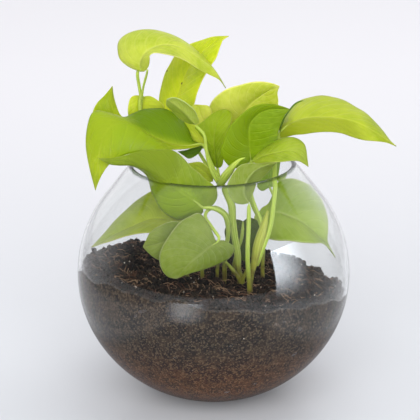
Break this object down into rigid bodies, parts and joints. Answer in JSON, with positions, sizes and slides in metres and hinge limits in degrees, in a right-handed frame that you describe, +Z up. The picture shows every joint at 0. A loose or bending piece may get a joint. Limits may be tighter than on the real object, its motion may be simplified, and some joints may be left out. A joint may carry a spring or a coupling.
{
  "type": "money plant in vase",
  "caption": "Young trailing house plant with heart-shaped leaves, growing in potting soil in a round clear glass bowl vase.",
  "frame": {"origin": "centre of the vase's flat base, on the surface it stands on", "axes": "+Z up; -Y towards the front of the picture; +X to the picture's right"},
  "size_m": [0.171, 0.1496, 0.2022],
  "materials": {
    "clear_glass": "clear, smooth, fire-polished rim",
    "potting_soil": "loose dark brown potting soil with fibres; matte_plastic stands in for soil",
    "leaf_green": "waxy mid-green leaf and stalk; matte_plastic stands in for living leaf",
    "leaf_lime": "waxy yellow-green leaf and stalk; matte_plastic stands in for living leaf"
  },
  "bodies": {
    "root": {"glass_bowl": "clear_glass", "soil": "potting_soil", "centre_vine": "leaf_green", "back_vine": "leaf_lime", "right_vine": "leaf_lime", "leaf_front_left": "leaf_green", "leaf_inner_left": "leaf_green", "leaf_low_left": "leaf_green", "leaf_centre_front": "leaf_green", "leaf_right_inner": "leaf_green", "leaf_low_back": "leaf_green"}
  },
  "joints": []
}
